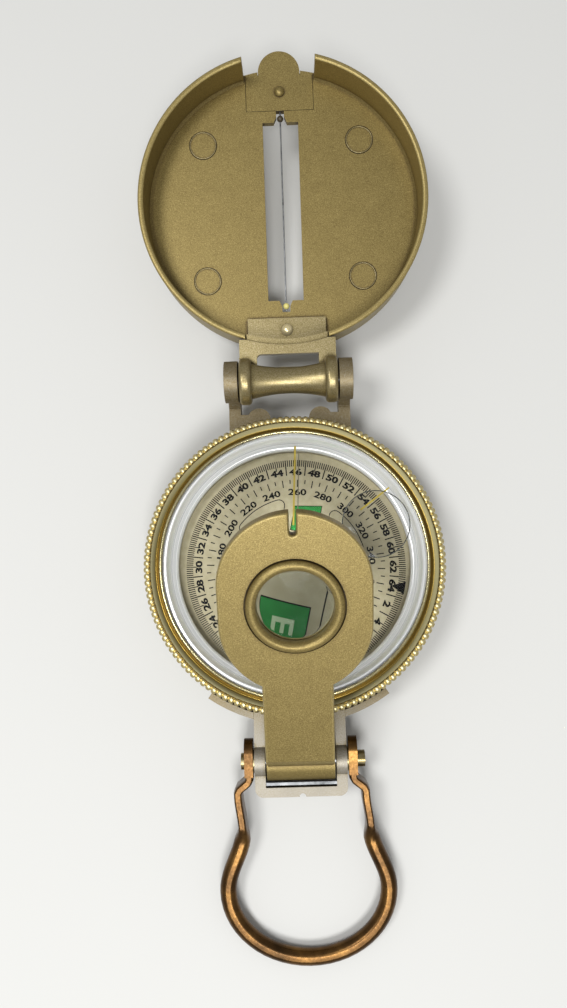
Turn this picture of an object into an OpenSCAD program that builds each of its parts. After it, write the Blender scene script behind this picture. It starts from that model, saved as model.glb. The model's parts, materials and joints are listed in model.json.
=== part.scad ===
// Folding pocket compass, lying open: case, cover with sighting wire, lens bracket and thumb loop.
// Origin at the centre of the case's flat base. The cover opens towards +Y, the thumb loop lies towards -Y.

/* [Case] */
// Step from the bezel's outer face in to the case wall
bezel_overhang = 1.8; // [1.3:0.1:2.3]
// Step from the bezel's outer face in to the neck that it turns on
bezel_wall = 2.9; // [2.5:0.1:3.1]
// Thickness of the neck's wall
neck_wall_t = 1.1; // [0.9:0.1:1.6]
// Thickness of the case floor
case_floor_t = 1.6; // [1.2:0.1:2]
// Height of the shoulder that the bezel rests on
shoulder_z = 8.6; // [8.2:0.1:9.2]
// Height of the neck above the shoulder
neck_h = 4.1; // [3.9:0.1:4.4]
// Chamfer round the base
base_chamfer = 1; // [0.4:0.1:2]

/* [Hinge] */
// Distance from the bezel's outer face to the cover's hinge axis
hinge_set = 6.85; // [6.6:0.05:7.7]
// Height of the hinge axis
hinge_z = 13.8; // [13.5:0.1:14.2]
// Width over the two ears of the case
hinge_w = 24.6; // [24:0.1:25.4]
// Width of one ear
ear_w = 2.6; // [2.2:0.1:2.8]
// Radius of the ears
ear_r = 4; // [3.6:0.1:4.2]
// Radius of the collars on the cover's barrel
collar_r = 4.5; // [4.1:0.1:4.7]
// Width of one collar
collar_w = 2.4; // [2:0.05:2.6]
// Radius of the barrel beside the collars
barrel_end_r = 3.4; // [3:0.1:3.6]
// Radius of the barrel's waist
barrel_waist_r = 2.5; // [2.2:0.05:2.8]
// Radius of the hinge pin
hinge_pin_r = 1.2; // [0.9:0.05:1.4]
// Side play of the cover between the ears
hinge_play = 0.2; // [0.1:0.05:0.4]

/* [Cover] */
// Angle of the open cover above level, where the hinge stops it
cover_angle = 12; // [0:0.5:16]
// How far the cover's radius is over the bezel's
cover_overhang = -0.1; // [-0.5:0.1:0.2]
// How far the closed cover's centre lies past the bezel's
cover_shift = 0.25; // [0.05:0.05:0.65]
// Height of the cover from its outer face to its rim
cover_h = 9.4; // [8.8:0.1:9.8]
// Distance from the hinge axis down to the rim
rim_drop = 1.3; // [1:0.1:1.6]
// Thickness of the cover's floor
cover_floor_t = 1.5; // [1.2:0.1:1.8]
// Thickness of the cover's wall
cover_wall_t = 1.1; // [0.9:0.1:1.4]
// Width of the gap in the wall at the tip
tip_gap_w = 14.2; // [13.9:0.1:15]
// Width of the sight slot
slot_w = 7.2; // [6:0.1:8]
// Distance from the cover's edge to the ends of the sight slot
slot_inset = 10.3; // [10.2:0.1:11.7]
// Distance from the cover's centre to the slot's centre, towards the tip
slot_shift = -0.2; // [-0.6:0.05:0.2]
// Diameter of the sighting wire
wire_d = 0.3; // [0.2:0.05:0.5]
// Width of the hinge arm's tongue inside the cover
tongue_w = 15.8; // [13:0.1:16.5]
// Thickness of the tongue
tongue_t = 1.1; // [0.8:0.1:1.4]
// Width of the neck between the cover and the hinge
cover_neck_w = 18.8; // [18.4:0.1:19]
// Thickness of the neck
cover_neck_t = 1.5; // [1.2:0.1:1.8]
// Width of the tab at the tip
tab_w = 13.5; // [12:0.1:13.6]
// Radius of the round lobe on the tab
lobe_r = 4.2; // [3.5:0.1:5]
// How far the lobe stands out past the cover's edge
lobe_overhang = 3.7; // [3.2:0.1:4.8]

/* [Rear frame and axle] */
// Distance from the bezel's outer face to the axle of the bracket and the loop
axle_set = 8; // [7.8:0.1:8.8]
// Height of the axle
axle_z = 6.5; // [6.2:0.1:6.6]
// Radius of the axle
axle_r = 1.35; // [1.2:0.05:1.5]
// Width over the frame
frame_w = 17.1; // [16.8:0.1:17.8]
// Thickness of the frame's sides
frame_side_t = 2; // [1.8:0.05:2.2]
// Thickness of the frame's rear bar
frame_bar_t = 1.7; // [1.5:0.1:1.8]
// Distance from the axle to the rear face of the frame
frame_rear = 6.4; // [6.3:0.1:6.8]
// Height of the underside of the frame
frame_z = 2; // [1.6:0.1:2.6]
// Height of the top of the frame
frame_top_z = 8; // [7.6:0.1:8.2]
// How far the guard lip stands out past the bezel
guard_overhang = 1.6; // [1.5:0.1:2.1]
// Half of the angle that the guard lip spans
guard_half_angle = 34.6; // [28:0.2:40]
// Thickness of the bracket's leaf spring
leaf_t = 0.5; // [0.3:0.05:0.6]

/* [Lens bracket] */
// Angle of the bracket above its folded position
bracket_angle = 28; // [0:0.5:30]
// Thickness of the bracket's plate
plate_t = 2.1; // [1.8:0.1:2.3]
// Distance from the axle up to the middle of the plate
plate_rise = 10.3; // [10.2:0.1:10.8]
// How far the lens lies past the dial's centre when the bracket is folded
lens_shift = 0.1; // [-0.7:0.1:0.7]
// Gap from the bracket's neck to each side of the frame
bracket_neck_gap = 0.6; // [0.4:0.05:1]
// How far the head stands out past the frame on each side
head_overhang = 4.05; // [3.4:0.05:4.2]
// Distance from the lens to the centre of the head's far round end
head_rise = 3.3; // [3:0.05:5]
// Distance from the lens to the centre of the head's near round end
head_drop = 3.25; // [2:0.05:4.2]
// Radius of the clear opening over the lens
lens_open_r = 6.3; // [5.8:0.1:6.5]
// Outer radius of the lens's retaining ring
lens_ring_r = 8.1; // [7.8:0.1:8.4]
// Width of the sight notch in the head
notch_w = 1.1; // [0.8:0.1:1.6]
// Length of the sight notch
notch_l = 3.8; // [3:0.1:6]
// Radius of the bracket's barrel
bracket_barrel_r = 3.6; // [3.2:0.1:3.7]

/* [Thumb loop] */
// Diameter of the loop's wire
loop_d = 3.1; // [2.8:0.1:3.3]
// Thickness of the flattened eyes and legs
loop_eye_t = 1.6; // [1.2:0.1:1.8]
// Width of the flattened eyes
loop_eye_w = 4.8; // [4.2:0.1:5.2]
// Step from an eye of the loop out to its straight leg
loop_jog_w = 2.15; // [1.9:0.05:2.6]
// Step from a straight leg out to the loop's widest place
loop_flare_w = 3.1; // [2.2:0.1:4]
// Distance from the axle to the widest place
loop_wide_s = 23.6; // [22:0.1:25]
// Length of the round end beyond the widest place
loop_end_l = 12.4; // [11.5:0.1:14]
// How far the bent loop leans to one side
loop_lean = 0.7; // [0:0.1:1]

/* [Bezel] */
// Outer radius of the bezel over its serrations
bezel_r = 28.3; // [27.9:0.1:28.7]
// Height of the bezel
bezel_h = 5.3; // [5.2:0.1:5.5]
// Number of serrations
serration_count = 144; // [96:12:180]
// Depth of the serrations
serration_depth = 0.4; // [0.2:0.05:0.5]
// Width of the bezel from its outer face to its inner lip
bezel_lip_w = 3.7; // [3.6:0.1:4.2]
// Thickness of the crystal above its flange
crystal_t = 0.65; // [0.6:0.05:0.7]
// Radius of the magnifier on the crystal
magnifier_r = 6.4; // [5:0.1:6.5]
// Height of the magnifier's dome
magnifier_h = 0.9; // [0.6:0.1:0.9]
// Gap from the magnifier to the bezel's inner lip
magnifier_inset = 1.4; // [0.8:0.1:3.2]
// Clockwise angle of the magnifier from the cover's direction
magnifier_angle = 67; // [0:1:355]

/* [Capsule and dial] */
// Height of the underside of the capsule's glass
capsule_glass_z = 8.8; // [8.6:0.1:9]
// Thickness of the capsule's glass
capsule_glass_t = 1; // [0.8:0.1:1.1]
// Thickness of the capsule's wall
cup_wall_t = 1.7; // [1.6:0.1:2.8]
// Thickness of the dial card
dial_t = 0.4; // [0.3:0.05:0.6]
// Height of the underside of the dial card
dial_z = 7.2; // [6.9:0.1:7.3]
// Clockwise angle of north from the cover's direction
north_angle = 100; // [0:5:355]
// Length of the magnet
magnet_l = 26; // [20:1:32]

/* [Hidden] */
$fn = 96;

// Overrun of every cut past the face that it opens
cut = 0.5;
// Radial clearance of a pin or a shaft in its bore
fit = 0.05;
// Gap round a piece that is seated in another
seat = 0.1;
// Side gap between neighbours on the axle
side_gap = 0.05;

bronze = "#8a7440";
pale_bronze = "#b8a878";
gold = "#cfae52";
copper = "#8a4f24";
steel = "#9a9ca0";
clear = [0.85, 0.9, 0.92, 0.35];

// Case
case_r = bezel_r - bezel_overhang;
neck_r = bezel_r - bezel_wall;
case_bore_r = neck_r - neck_wall_t;
hinge_y = bezel_r + hinge_set;
axle_y = bezel_r + axle_set;
neck_top_z = shoulder_z + neck_h;
arm_w = 2.3;
arm_z = 4.6;
arm_root_y = case_r - base_chamfer;
arm_step = 0.2;
ear_foot_angle = -50;
ear_in_x = hinge_w / 2 - ear_w;
flange_t = 1.4;
flange_y = case_r + 2.7;
flange_corner_w = 1.7;
flange_corner_y = 0.9;
flange_lobe_r = 2.3;
flange_lobe_x = 6.1;
guard_r = bezel_r + guard_overhang;
guard_t = 1.2;
guard_shelf_z = 3.6;
guard_shelf_t = 2;
guard_chamfer = 1;
boss_r = 3;
frame_corner_r = 1.5;
frame_in_x = frame_w / 2 - frame_side_t;
frame_rear_y = axle_y + frame_rear;
gate_r = 0.6;
gate_x = 0.2;
leaf_gap = 0.25;
leaf_z = frame_z + 0.4;
leaf_top_z = frame_top_z - 0.4;
leaf_seat = 0.35;
snap_w = 0.8;
snap_h = 0.8;
snap_z = shoulder_z + 1.9;
snap_in_r = neck_r - 0.45;
snap_open_angle = 15;

// Cover
cover_r = bezel_r + cover_overhang;
cover_reach = hinge_y + cover_shift;
cover_axis_h = cover_h + rim_drop;
slot_l = 2 * (cover_r - slot_inset);
lobe_reach = cover_r + lobe_overhang;
barrel_half = hinge_w / 2 - ear_w - hinge_play - collar_w;
barrel_sag = barrel_end_r - barrel_waist_r;
barrel_arc_r = (barrel_half * barrel_half + barrel_sag * barrel_sag) / (2 * barrel_sag);
collar_edge = 0.8;
cover_edge = 0.9;
rim_edge = 0.25;
cover_in_r = cover_r - cover_wall_t;
tongue_l = 5.3;
tongue_gap = 0.2;
neck_root_x = ear_in_x - hinge_play;
neck_wide_y = ear_r + 0.35;
neck_end_y = 1;
window_w = 12.1;
window_y = 2.8;
window_l = 2.6;
window_r = 0.9;
hinge_rivet_y = tongue_l - 1.3;
rivet_shank_r = 0.8;
rivet_head_r = 1.15;
rivet_head_h = 0.8;
tip_rivet_inset = 4.4;
tip_rivet_y = cover_r - tip_rivet_inset;
tip_rivet_r = 1;
seam_step = 0.35;
tab_t = 0.8;
tab_root_inset = 8.1;
tab_root = cover_r - tab_root_inset;
tab_end_gap = 0.05;
tab_shoulder = cover_in_r - tab_end_gap;
tab_gap = 0.1;
sight_notch_l = 2.3;
sight_notch_wide = 2.7;
sight_notch_thin = 1.6;
wire_seat_l = 1.2;
wire_fit = 0.02;
dot_r = 0.65;
dot_inset = 1;
mark_inset = 7.32;
mark_angle = 40.83;
mark_x = (cover_r - mark_inset) * cos(mark_angle);
mark_y = (cover_r - mark_inset) * sin(mark_angle);
mark_r = 2.85;
mark_line_w = 0.3;
mark_depth = 0.15;

// Bracket, axle and loop
plate_low = plate_rise - plate_t / 2;
plate_top = plate_rise + plate_t / 2;
lens_reach = axle_y + lens_shift;
bracket_neck_w = 2 * (frame_in_x - bracket_neck_gap);
head_w = frame_w + 2 * head_overhang;
leg_low = [3.2, 1];
leg_high = [0.6, 2.9];
heel_a = 6.4;
heel_round = 1.2;
leg_w = 2.6;
bracket_barrel_gap = 0.3;
bracket_barrel_w = 2 * (frame_in_x - bracket_barrel_gap);
lens_flange_t = 0.8;
lens_flange_w = 0.7;
lens_bulge = 0.6;
lens_seat_u = plate_low + 0.5;
lens_ring_gap = 0.2;
lens_ring_h = 1.6;
loop_eye_gap = 0.3;
loop_eye_x = frame_w / 2 + loop_eye_gap + loop_eye_t / 2;
loop_leg_x = loop_eye_x + loop_jog_w;
loop_wide_x = loop_leg_x + loop_flare_w;
loop_eye_l = 4.2;
loop_jog_s = 3;
loop_jog_l = 2.4;
loop_round_s = 11.6;
loop_round_l = 3;
loop_flare_s = 12.6;
loop_angle = asin((axle_z - loop_d / 2) / (loop_wide_s + loop_end_l));
washer_r = 2.2;
washer_t = loop_eye_gap - 2 * side_gap;
axle_half = loop_eye_x + loop_eye_t / 2 + side_gap;
screw_head_r = 1.5;
screw_head_t = 1.4;
screw_flat_t = 0.6;
screw_shank_r = 0.75;
screw_shank_l = 4;
screw_slot_w = 0.4;
screw_slot_d = 0.4;

// Bezel
bezel_z = shoulder_z + 0.1;
bezel_top_z = bezel_z + bezel_h;
bezel_bore_r = neck_r + fit;
bezel_lip_r = bezel_r - bezel_lip_w;
bezel_lip_t = 0.5;
magnifier_reach = bezel_lip_r - magnifier_r - magnifier_inset;
bezel_foot_w = 1.2;
bezel_band_z = bezel_z + 1.2;
bezel_band_top = bezel_top_z - 1.8;
serration_root = 0.1;
bezel_core_r = bezel_r - serration_depth - serration_root;
bezel_bevel_r = bezel_core_r - 0.65;
bezel_bevel_z = bezel_top_z - 0.9;
bezel_step_w = 0.7;
bezel_step_h = 0.15;
snap_room = 0.25;
snap_play = 0.1;
flange_r = bezel_bore_r - seat;
flange_h = 0.45;
crystal_ring_t = 0.2;
crystal_ring_in_r = bezel_lip_r + 0.1;
crystal_r = bezel_lip_r - fit;
crystal_z = bezel_top_z - bezel_lip_t - flange_h - fit;
crystal_top_z = crystal_z + flange_h + crystal_t;
crystal_edge = 0.25;

// Capsule and dial
cup_r = case_bore_r - seat;
cup_floor_t = 1;
cup_in_r = cup_r - cup_wall_t;
dial_gap = 0.15;
dial_r = cup_in_r - dial_gap;
cup_rebate_w = 0.8;
cup_rebate_r = cup_in_r + cup_rebate_w;
cup_top_z = capsule_glass_z + capsule_glass_t;
gasket_t = 0.3;
reflector_foot_w = 1.5;
reflector_top_w = 0.3;
post_base_r = 2.2;
post_base_h = 0.8;
post_r = 0.8;
post_tip_r = 0.12;
post_tip_l = 1.6;
jewel_r = 1.5;
jewel_flange_r = 2.6;
jewel_flange_t = 0.25;
jewel_low = 0.3;
jewel_roof = 0.3;
jewel_top = 0.55;
jewel_bore_r = 1.1;
jewel_gap = 0.08;
magnet_w = 4.4;
magnet_t = 1.3;
magnet_hole_r = jewel_r + fit;

// A cylinder along X, centred on x = 0
module rod(r, length) {
    rotate([0, 90, 0])
        cylinder(r = r, h = length, center = true);
}

// A box from one corner to the opposite one
module block(low, high) {
    translate(low)
        cube(high - low);
}

// Both sides of the object, made from the side at +X
module both_sides() {
    children();
    mirror([1, 0, 0])
        children();
}

// An outline in the YZ plane, as wide as from x0 to x1
module side_plate(points, x0, x1) {
    translate([x0, 0, 0])
        rotate([90, 0, 90])
            linear_extrude(x1 - x0)
                polygon(points);
}

module case_cup() {
    rotate_extrude()
        polygon([
            [0, 0], [case_r - base_chamfer, 0], [case_r, base_chamfer], [case_r, shoulder_z],
            [neck_r, shoulder_z], [neck_r, neck_top_z], [0, neck_top_z]
        ]);
}

module case_arm() {
    side_plate([
        [arm_root_y - ear_r, arm_z],
        [hinge_y - ear_r / 2, arm_z],
        [hinge_y + ear_r * cos(ear_foot_angle), hinge_z + ear_r * sin(ear_foot_angle)],
        [hinge_y, hinge_z],
        [hinge_y - ear_r + arm_step, shoulder_z],
        [arm_root_y - ear_r, shoulder_z]
    ], ear_in_x, ear_in_x + arm_w);
    translate([ear_in_x + ear_w / 2, hinge_y, hinge_z])
        rod(ear_r, ear_w);
}

module front_flange() {
    z0 = shoulder_z - flange_t;
    block([0, arm_root_y - ear_r, z0], [ear_in_x + arm_w / 2, flange_y, shoulder_z]);
    block([ear_in_x - flange_corner_w, flange_y - flange_t, z0],
        [ear_in_x + arm_w / 2, flange_y + flange_corner_y, shoulder_z]);
    translate([flange_lobe_x, flange_y - flange_t / 10, z0])
        cylinder(r = flange_lobe_r, h = flange_t);
}

// The rear frame's outline from above, with round rear corners
module frame_outline() {
    corner_x = frame_w / 2 - frame_corner_r;
    translate([-frame_w / 2, -frame_rear_y + frame_corner_r])
        square([frame_w, frame_rear_y - frame_corner_r - arm_root_y + ear_r]);
    translate([-corner_x, -frame_rear_y])
        square([2 * corner_x, frame_corner_r + cut]);
    both_sides()
        translate([corner_x, -frame_rear_y + frame_corner_r])
            circle(r = frame_corner_r);
}

module guard_lip() {
    rotate([0, 0, -90 - guard_half_angle])
        rotate_extrude(angle = 2 * guard_half_angle)
            polygon([
                [case_r - base_chamfer, guard_shelf_z], [guard_r - guard_chamfer, guard_shelf_z],
                [guard_r, guard_shelf_z + guard_chamfer], [guard_r, frame_top_z],
                [guard_r - guard_t, frame_top_z], [guard_r - guard_t, guard_shelf_z + guard_shelf_t],
                [case_r - base_chamfer, guard_shelf_z + guard_shelf_t]
            ]);
}

// The open well in the frame that the bracket swings in
module frame_well() {
    block([-frame_in_x, frame_bar_t - frame_rear_y, frame_z - cut],
        [frame_in_x, -case_r - guard_t / 2, boss_r + axle_z + cut]);
}

module leaf_space(gap) {
    y0 = -axle_y - bracket_barrel_r - leaf_gap - leaf_t;
    block([-frame_in_x - leaf_seat - gap, y0 - gap, leaf_z - gap],
        [frame_in_x + leaf_seat + gap, y0 + leaf_t + gap, leaf_top_z + gap]);
}

module case_body() {
    color(pale_bronze)
        difference() {
            union() {
                case_cup();
                both_sides() {
                    case_arm();
                    front_flange();
                }
                guard_lip();
                translate([0, 0, frame_z])
                    linear_extrude(frame_top_z - frame_z)
                        frame_outline();
                translate([0, -axle_y, axle_z])
                    rod(boss_r, frame_w);
            }
            frame_well();
            translate([0, 0, case_floor_t])
                cylinder(r = case_bore_r, h = neck_top_z);
            rotate_extrude()
                translate([snap_in_r - fit, snap_z - fit])
                    square([neck_r - snap_in_r + cut, snap_h + 2 * fit]);
            translate([0, hinge_y, hinge_z])
                rod(hinge_pin_r + fit, hinge_w + cut);
            translate([0, -axle_y, axle_z])
                rod(axle_r + fit, frame_w + cut);
            leaf_space(fit);
            translate([gate_x, -frame_rear_y, frame_z - cut])
                cylinder(r = gate_r, h = frame_top_z);
        }
}

module hinge_pin() {
    color(steel)
        translate([0, hinge_y, hinge_z])
            rod(hinge_pin_r, hinge_w - ear_w / 5);
}

module bracket_leaf_spring() {
    color(steel)
        leaf_space(0);
}

module loop_washers() {
    color(gold)
        both_sides()
            translate([frame_w / 2 + side_gap + washer_t / 2, -axle_y, axle_z])
                difference() {
                    rod(washer_r, washer_t);
                    rod(axle_r + fit, washer_t + cut);
                }
}

module capsule_cup() {
    color("#d8d2bc")
        rotate_extrude()
            polygon([
                [0, case_floor_t], [cup_r, case_floor_t], [cup_r, cup_top_z], [cup_rebate_r, cup_top_z],
                [cup_rebate_r, capsule_glass_z], [cup_in_r, capsule_glass_z],
                [cup_in_r, case_floor_t + cup_floor_t], [0, case_floor_t + cup_floor_t]
            ]);
}

module capsule_glass() {
    color(clear)
        translate([0, 0, capsule_glass_z])
            cylinder(r = cup_rebate_r - seat, h = capsule_glass_t);
}

module capsule_gasket() {
    color("#2a2a2a")
        translate([0, 0, cup_top_z])
            difference() {
                cylinder(r = cup_r, h = gasket_t);
                translate([0, 0, -cut])
                    cylinder(r = cup_in_r + seat, h = gasket_t + 2 * cut);
            }
}

module reflector_ring() {
    color("#dcdcd8")
        rotate_extrude()
            polygon([
                [cup_r - reflector_foot_w, cup_top_z + gasket_t], [cup_r, cup_top_z + gasket_t],
                [cup_r, neck_top_z], [cup_r - reflector_top_w, neck_top_z]
            ]);
}

module pivot_post() {
    z0 = case_floor_t + cup_floor_t;
    tip_z = dial_z + dial_t + jewel_top - jewel_roof - jewel_gap;
    color("#c9a24a") {
        translate([0, 0, z0])
            cylinder(r = post_base_r, h = post_base_h);
        translate([0, 0, z0])
            cylinder(r = post_r, h = tip_z - post_tip_l - z0);
        translate([0, 0, tip_z - post_tip_l])
            cylinder(r1 = post_r, r2 = post_tip_r, h = post_tip_l);
    }
}

module bezel_snap_ring() {
    color(steel)
        rotate([0, 0, snap_open_angle / 2])
            rotate_extrude(angle = 360 - snap_open_angle)
                translate([snap_in_r, snap_z])
                    square([snap_w, snap_h]);
}

// The cover's own frame: y from the hinge axis, z from the outer face, turned up to its open place
module at_cover() {
    translate([0, hinge_y, hinge_z])
        rotate([cover_angle, 0, 0])
            translate([0, 0, -cover_axis_h])
                children();
}

// The cover's cup, before its openings are cut
module cover_cup() {
    rotate_extrude()
        polygon([
            [0, 0], [cover_r - cover_edge, 0], [cover_r, cover_edge], [cover_r, cover_h - rim_edge],
            [cover_r - rim_edge, cover_h], [cover_in_r + rim_edge, cover_h], [cover_in_r, cover_h - rim_edge],
            [cover_in_r, cover_floor_t + cover_edge / 2], [cover_in_r - cover_edge / 2, cover_floor_t],
            [0, cover_floor_t]
        ]);
}

// The sight slot with a flared notch at each end, round the slot's own centre
module sight_slot() {
    end_y = slot_l / 2;
    linear_extrude(cover_h + cut) {
        square([slot_w, slot_l], center = true);
        for (turn = [0, 180])
            rotate([0, 0, turn])
                polygon([
                    [-sight_notch_wide / 2, end_y - cut], [-sight_notch_wide / 2, end_y],
                    [-sight_notch_thin / 2, end_y + sight_notch_l / 2],
                    [-sight_notch_thin / 2, end_y + sight_notch_l],
                    [sight_notch_thin / 2, end_y + sight_notch_l],
                    [sight_notch_thin / 2, end_y + sight_notch_l / 2],
                    [sight_notch_wide / 2, end_y], [sight_notch_wide / 2, end_y - cut]
                ]);
    }
}

// The tab's outline from above, grown by a gap
module tab_outline(gap) {
    translate([-tab_w / 2 - gap, tab_root - gap])
        square([tab_w + 2 * gap, tab_shoulder - tab_root + gap]);
    translate([0, lobe_reach - lobe_r])
        circle(r = lobe_r + gap);
}

module eject_mark() {
    difference() {
        cylinder(r = mark_r, h = mark_depth + cut);
        translate([0, 0, -cut])
            cylinder(r = mark_r - mark_line_w, h = mark_depth + 3 * cut);
    }
}

module wire_rod(r) {
    length = slot_l + 2 * sight_notch_l + 2 * wire_seat_l;
    translate([0, slot_shift, cover_floor_t / 2])
        rotate([90, 0, 0])
            cylinder(r = r, h = length, center = true, $fn = 24);
}

module cover_shell() {
    color(bronze)
        at_cover()
            translate([0, cover_reach, 0])
            difference() {
                cover_cup();
                translate([0, slot_shift, -cut])
                    sight_slot();
                block([-tip_gap_w / 2, cover_in_r / 2, cover_floor_t],
                    [tip_gap_w / 2, cover_r + cut, cover_h + cut]);
                translate([0, 0, cover_floor_t - tab_t])
                    linear_extrude(cover_h)
                        tab_outline(tab_gap);
                block([-tongue_w / 2 - tongue_gap, -cover_r - cut, cover_floor_t],
                    [tongue_w / 2 + tongue_gap, -cover_in_r / 2, cover_h + cut]);
                for (sx = [-1, 1], sy = [-1, 1])
                    translate([sx * mark_x, sy * mark_y, cover_floor_t - mark_depth])
                        eject_mark();
                translate([0, -cover_r + hinge_rivet_y, -cut])
                    cylinder(r = rivet_shank_r + fit, h = cover_h);
                translate([0, tip_rivet_y, -cut])
                    cylinder(r = rivet_shank_r + fit, h = cover_h);
                wire_rod(wire_d / 2 + wire_fit);
            }
}

// The hinge arm: a riveted tongue, the stretch of wall that it carries, the neck and the barrel
module cover_hinge_arm() {
    wall_x = tongue_w / 2;
    edge_y = cover_reach - cover_r;
    color(bronze)
        at_cover()
            difference() {
                union() {
                    intersection() {
                        tongue_and_wall();
                        block([-wall_x, edge_y - cut, 0],
                            [wall_x, edge_y + tongue_l + cover_wall_t, cover_h + cut]);
                    }
                    neck_plate();
                    block([-wall_x, edge_y, cover_h - cover_neck_t],
                        [wall_x, edge_y + cover_wall_t, cover_h - seam_step]);
                    translate([0, 0, cover_axis_h]) {
                        hourglass();
                        both_sides()
                            translate([barrel_half, 0, 0])
                                collar();
                    }
                }
                neck_window();
                translate([0, edge_y + hinge_rivet_y, -cut])
                    cylinder(r = rivet_shank_r + fit, h = cover_h - cover_neck_t);
                translate([0, 0, cover_axis_h])
                    rod(hinge_pin_r + fit, hinge_w);
            }
}

module tongue_and_wall() {
    translate([0, cover_reach, cover_floor_t]) {
        cylinder(r = cover_in_r, h = tongue_t);
        difference() {
            cylinder(r = cover_r, h = cover_h - cover_floor_t - seam_step);
            translate([0, 0, -cut])
                cylinder(r = cover_in_r, h = cover_h + cut);
        }
    }
}

// The neck between the barrel and the cover, cut to the cover's curve
module neck_plate() {
    difference() {
        union() {
            block([-cover_neck_w / 2, neck_wide_y, cover_h - cover_neck_t],
                [cover_neck_w / 2, cover_reach - cover_r + cover_wall_t, cover_h]);
            block([-neck_root_x, neck_end_y, cover_h - cover_neck_t],
                [neck_root_x, neck_wide_y + cut, cover_h]);
        }
        translate([0, cover_reach, 0])
            cylinder(r = cover_r + fit, h = cover_h + cut);
    }
}

module hourglass() {
    rotate([0, 90, 0])
        rotate_extrude()
            difference() {
                translate([0, -barrel_half - fit])
                    square([barrel_end_r, 2 * (barrel_half + fit)]);
                translate([barrel_waist_r + barrel_arc_r, 0])
                    circle(r = barrel_arc_r, $fn = 360);
            }
}

// A collar with round edges
module collar() {
    rotate([0, 90, 0])
        rotate_extrude() {
            square([collar_r - collar_edge, collar_w]);
            translate([0, collar_edge])
                square([collar_r, collar_w - 2 * collar_edge]);
            for (x = [collar_edge, collar_w - collar_edge])
                translate([collar_r - collar_edge, x])
                    circle(r = collar_edge, $fn = 48);
        }
}

// The window in the neck, with one round end
module neck_window() {
    x1 = window_w / 2;
    translate([0, window_y, cover_h - cover_neck_t - cut])
        linear_extrude(cover_neck_t + 2 * cut) {
            translate([window_r - x1, 0])
                square([window_w - window_r, window_l]);
            translate([-x1, window_r])
                square([window_w, window_l - 2 * window_r]);
            for (y = [window_r, window_l - window_r])
                translate([window_r - x1, y])
                    circle(r = window_r);
        }
}

module cover_tip_tab() {
    color(bronze)
        at_cover()
            translate([0, cover_reach, cover_floor_t - tab_t])
                difference() {
                    linear_extrude(tab_t)
                        difference() {
                            tab_outline(0);
                            translate([0, slot_shift])
                                square([sight_notch_thin, slot_l + 2 * sight_notch_l], center = true);
                        }
                    translate([0, tip_rivet_y, -cut])
                        cylinder(r = rivet_shank_r + fit, h = tab_t + 2 * cut);
                    translate([0, 0, tab_t - cover_floor_t])
                        wire_rod(wire_d / 2 + wire_fit);
                }
}

// A rivet with a domed head that sits at height z
module rivet(head_r, z) {
    cylinder(r = rivet_shank_r, h = z);
    translate([0, 0, z])
        intersection() {
            cylinder(r = head_r, h = rivet_head_h);
            translate([0, 0, rivet_head_h - head_r * 1.2])
                sphere(r = head_r * 1.2);
        }
}

module hinge_rivet() {
    color(gold)
        at_cover()
            translate([0, cover_reach - cover_r + hinge_rivet_y, 0])
                rivet(rivet_head_r, cover_floor_t + tongue_t);
}

module tip_rivet() {
    color(gold)
        at_cover()
            translate([0, cover_reach + tip_rivet_y, 0])
                rivet(tip_rivet_r, cover_floor_t);
}

module sighting_wire() {
    color(steel)
        at_cover()
            translate([0, cover_reach, 0])
                wire_rod(wire_d / 2);
}

module lume_dots() {
    dot_reach = slot_l / 2 + dot_inset;
    color("#c8e03a")
        at_cover()
            for (end = [-1, 1])
                translate([0, cover_reach + slot_shift + end * dot_reach, cover_floor_t / 2])
                    difference() {
                        sphere(r = dot_r);
                        rotate([90, 0, 0])
                            cylinder(r = wire_d / 2 + wire_fit, h = 4 * dot_r, center = true, $fn = 24);
                    }
}

// Axle coordinates: the bracket's own frame, turned about the axle to its raised place
module at_bracket() {
    translate([0, -axle_y, axle_z])
        rotate([bracket_angle, 0, 0])
            children();
}

module bracket_axle() {
    color(steel)
        translate([0, -axle_y, axle_z])
            difference() {
                rod(axle_r, 2 * axle_half);
                both_sides()
                    translate([axle_half, 0, 0])
                        rod(screw_shank_r + fit, 2 * screw_shank_l);
            }
}

// A screw in the end of the axle, with a head as high as t
module axle_screw(t) {
    translate([axle_half, -axle_y, axle_z])
        difference() {
            union() {
                translate([t / 2, 0, 0])
                    rod(screw_head_r, t);
                translate([-screw_shank_l / 2, 0, 0])
                    rod(screw_shank_r, screw_shank_l);
            }
            block([t - screw_slot_d, -screw_head_r - cut, -screw_slot_w / 2],
                [t + cut, screw_head_r + cut, screw_slot_w / 2]);
        }
}

module axle_screws() {
    color(gold) {
        axle_screw(screw_head_t);
        mirror([1, 0, 0])
            axle_screw(screw_flat_t);
    }
}

// The head's outline from above: two round ends with short straight sides between them
module head_outline() {
    for (a = [lens_reach + head_rise, lens_reach - head_drop])
        translate([0, a])
            circle(d = head_w, $fn = 180);
    translate([-head_w / 2, lens_reach - head_drop])
        square([head_w, head_rise + head_drop]);
}

module notch_outline() {
    end_a = lens_reach + head_rise + head_w / 2 - notch_l + notch_w / 2;
    translate([-notch_w / 2, end_a])
        square([notch_w, notch_l + cut]);
    translate([0, end_a])
        circle(r = notch_w / 2, $fn = 48);
}

// The neck, its heel and the leg, seen from the side
module bracket_leg() {
    neck_end = lens_reach - head_drop - lens_ring_r;
    side_plate([
        [0, 0],
        leg_high,
        [heel_a, plate_low],
        [heel_a, plate_top - heel_round],
        [heel_a + heel_round / 3, plate_top - heel_round / 3],
        [heel_a + heel_round, plate_top],
        [neck_end, plate_top],
        [neck_end, plate_low],
        [heel_a + leg_w, plate_low],
        leg_low
    ], -bracket_neck_w / 2, bracket_neck_w / 2);
}

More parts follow.
